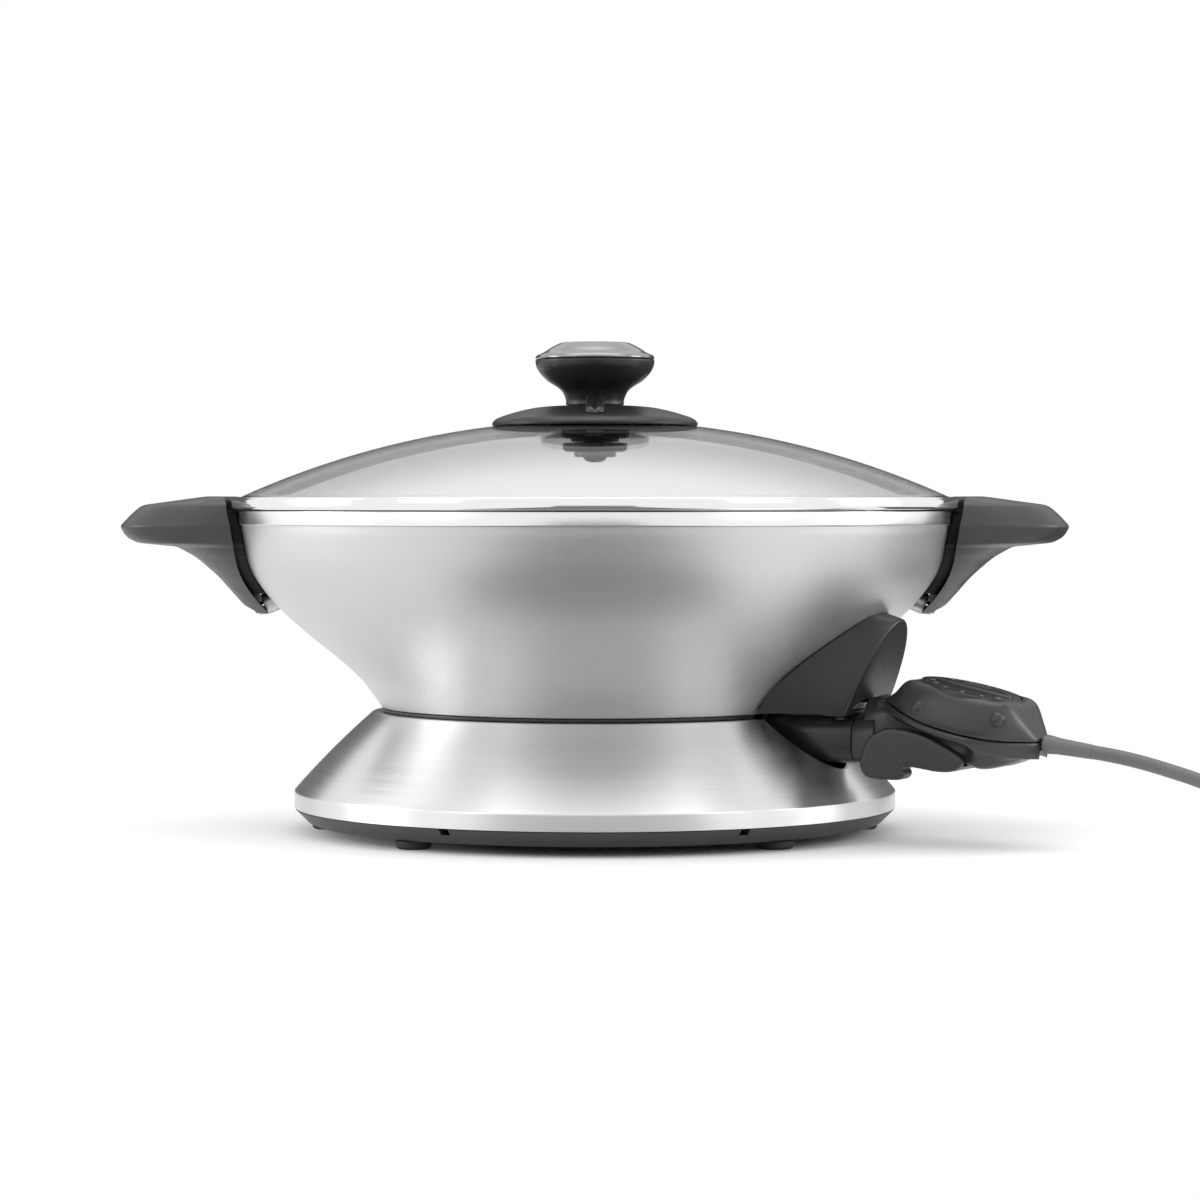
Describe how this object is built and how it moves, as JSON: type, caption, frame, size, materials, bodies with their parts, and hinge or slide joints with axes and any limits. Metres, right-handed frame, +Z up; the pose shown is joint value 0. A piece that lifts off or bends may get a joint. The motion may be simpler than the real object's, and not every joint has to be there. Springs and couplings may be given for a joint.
{
  "type": "electric wok",
  "caption": "Electric wok: cast bowl with two handles on a conical steel stand, glass lid with a vent knob, and a plug-in temperature probe with its mains lead.",
  "frame": {"origin": "on the surface that the feet stand on, under the middle of the stand", "axes": "+Z up; +X to the right-hand handle with the front, where the pointer faces, at -Y; the probe leaves to the front right, 28 degrees from +X"},
  "size_m": [0.6599, 0.3791, 0.243],
  "materials": {
    "brushed_steel": "brushed",
    "polished_steel": "polished",
    "satin_aluminium": "satin",
    "clear_glass": "clear",
    "charcoal_plastic": "satin",
    "black_plastic": "satin",
    "probe_plastic": "satin",
    "soft_rubber": "matte",
    "cord_rubber": "satin",
    "brass_contacts": "polished",
    "sheath_metal": "oxidised"
  },
  "bodies": {
    "base": {"base_skirt": "brushed_steel", "base_tray": "charcoal_plastic", "cradle_ring": "black_plastic", "foot_1": "soft_rubber", "foot_2": "soft_rubber", "foot_3": "soft_rubber", "foot_4": "soft_rubber", "foot_5": "soft_rubber", "foot_6": "soft_rubber", "tray_screw_1": "polished_steel", "tray_screw_2": "polished_steel", "tray_screw_3": "polished_steel", "lock_collet": "black_plastic"},
    "lock": {"lock_knob": "charcoal_plastic"},
    "bowl": {"wok_bowl": "satin_aluminium", "bowl_stud": "polished_steel", "heating_element": "sheath_metal", "terminal_pin_right": "polished_steel", "terminal_pin_left": "polished_steel", "socket_guard": "charcoal_plastic", "probe_hood": "charcoal_plastic", "hood_screw_right": "polished_steel", "hood_screw_left": "polished_steel", "handle_right": "charcoal_plastic", "handle_left": "charcoal_plastic", "handle_pad_right": "black_plastic", "handle_pad_left": "black_plastic", "handle_screw_right": "polished_steel", "handle_screw_left": "polished_steel"},
    "lid": {"lid_glass": "clear_glass", "lid_rim": "polished_steel", "vent_collar": "black_plastic", "vent_seal": "soft_rubber", "vent_nut": "black_plastic"},
    "knob": {"vent_knob": "black_plastic", "knob_cap": "brushed_steel", "vent_shutter": "charcoal_plastic", "knob_screw": "polished_steel"},
    "probe": {"probe_collar": "probe_plastic", "receptacle_right": "brass_contacts", "receptacle_left": "brass_contacts", "sensor_rod": "sheath_metal", "probe_upper_shell": "probe_plastic", "probe_lower_shell": "probe_plastic", "shell_screw_1": "polished_steel", "shell_screw_2": "polished_steel", "thermostat_block": "soft_rubber", "lever_pin": "polished_steel", "strain_relief": "cord_rubber", "mains_cord": "cord_rubber", "cord_coil": "cord_rubber", "cord_tail": "cord_rubber", "cord_tie": "black_plastic", "plug_body": "cord_rubber", "plug_blade_left": "brass_contacts", "plug_blade_right": "brass_contacts", "plug_ground_pin": "brass_contacts"},
    "dial": {"temperature_dial": "black_plastic", "dial_shaft": "brass_contacts"},
    "lever": {"eject_lever": "probe_plastic"}
  },
  "joints": [
    {"name": "bowl_lift", "type": "slide", "parent": "base", "child": "bowl", "axis": [0, 0, 1], "range_m": [0, 0.12]},
    {"name": "lid_lift", "type": "slide", "parent": "bowl", "child": "lid", "axis": [0, 0, 1], "range_m": [0, 0.1]},
    {"name": "vent_knob_turn", "type": "hinge", "parent": "lid", "child": "knob", "pos_m": [0, 0, 0.21], "axis": [0, 0, 1], "range_deg": [-35, 35]},
    {"name": "probe_pull", "type": "slide", "parent": "bowl", "child": "probe", "axis": [0.8829, -0.4695, 0], "range_m": [0, 0.075]},
    {"name": "dial_turn", "type": "hinge", "parent": "probe", "child": "dial", "pos_m": [0.17933, -0.09535, 0.07481], "axis": [0.1926, -0.1024, 0.9759], "range_deg": [0, 270]},
    {"name": "eject_lever_press", "type": "hinge", "parent": "probe", "child": "lever", "pos_m": [0.14392, -0.07652, 0.0465], "axis": [0.4695, 0.8829, 0], "range_deg": [0, 18], "stiffness_Nm_per_rad": 0.2},
    {"name": "lock_turn", "type": "hinge", "parent": "base", "child": "lock", "pos_m": [0, 0, 0.01], "axis": [0, 0, 1], "range_deg": [0, 60]}
  ]
}
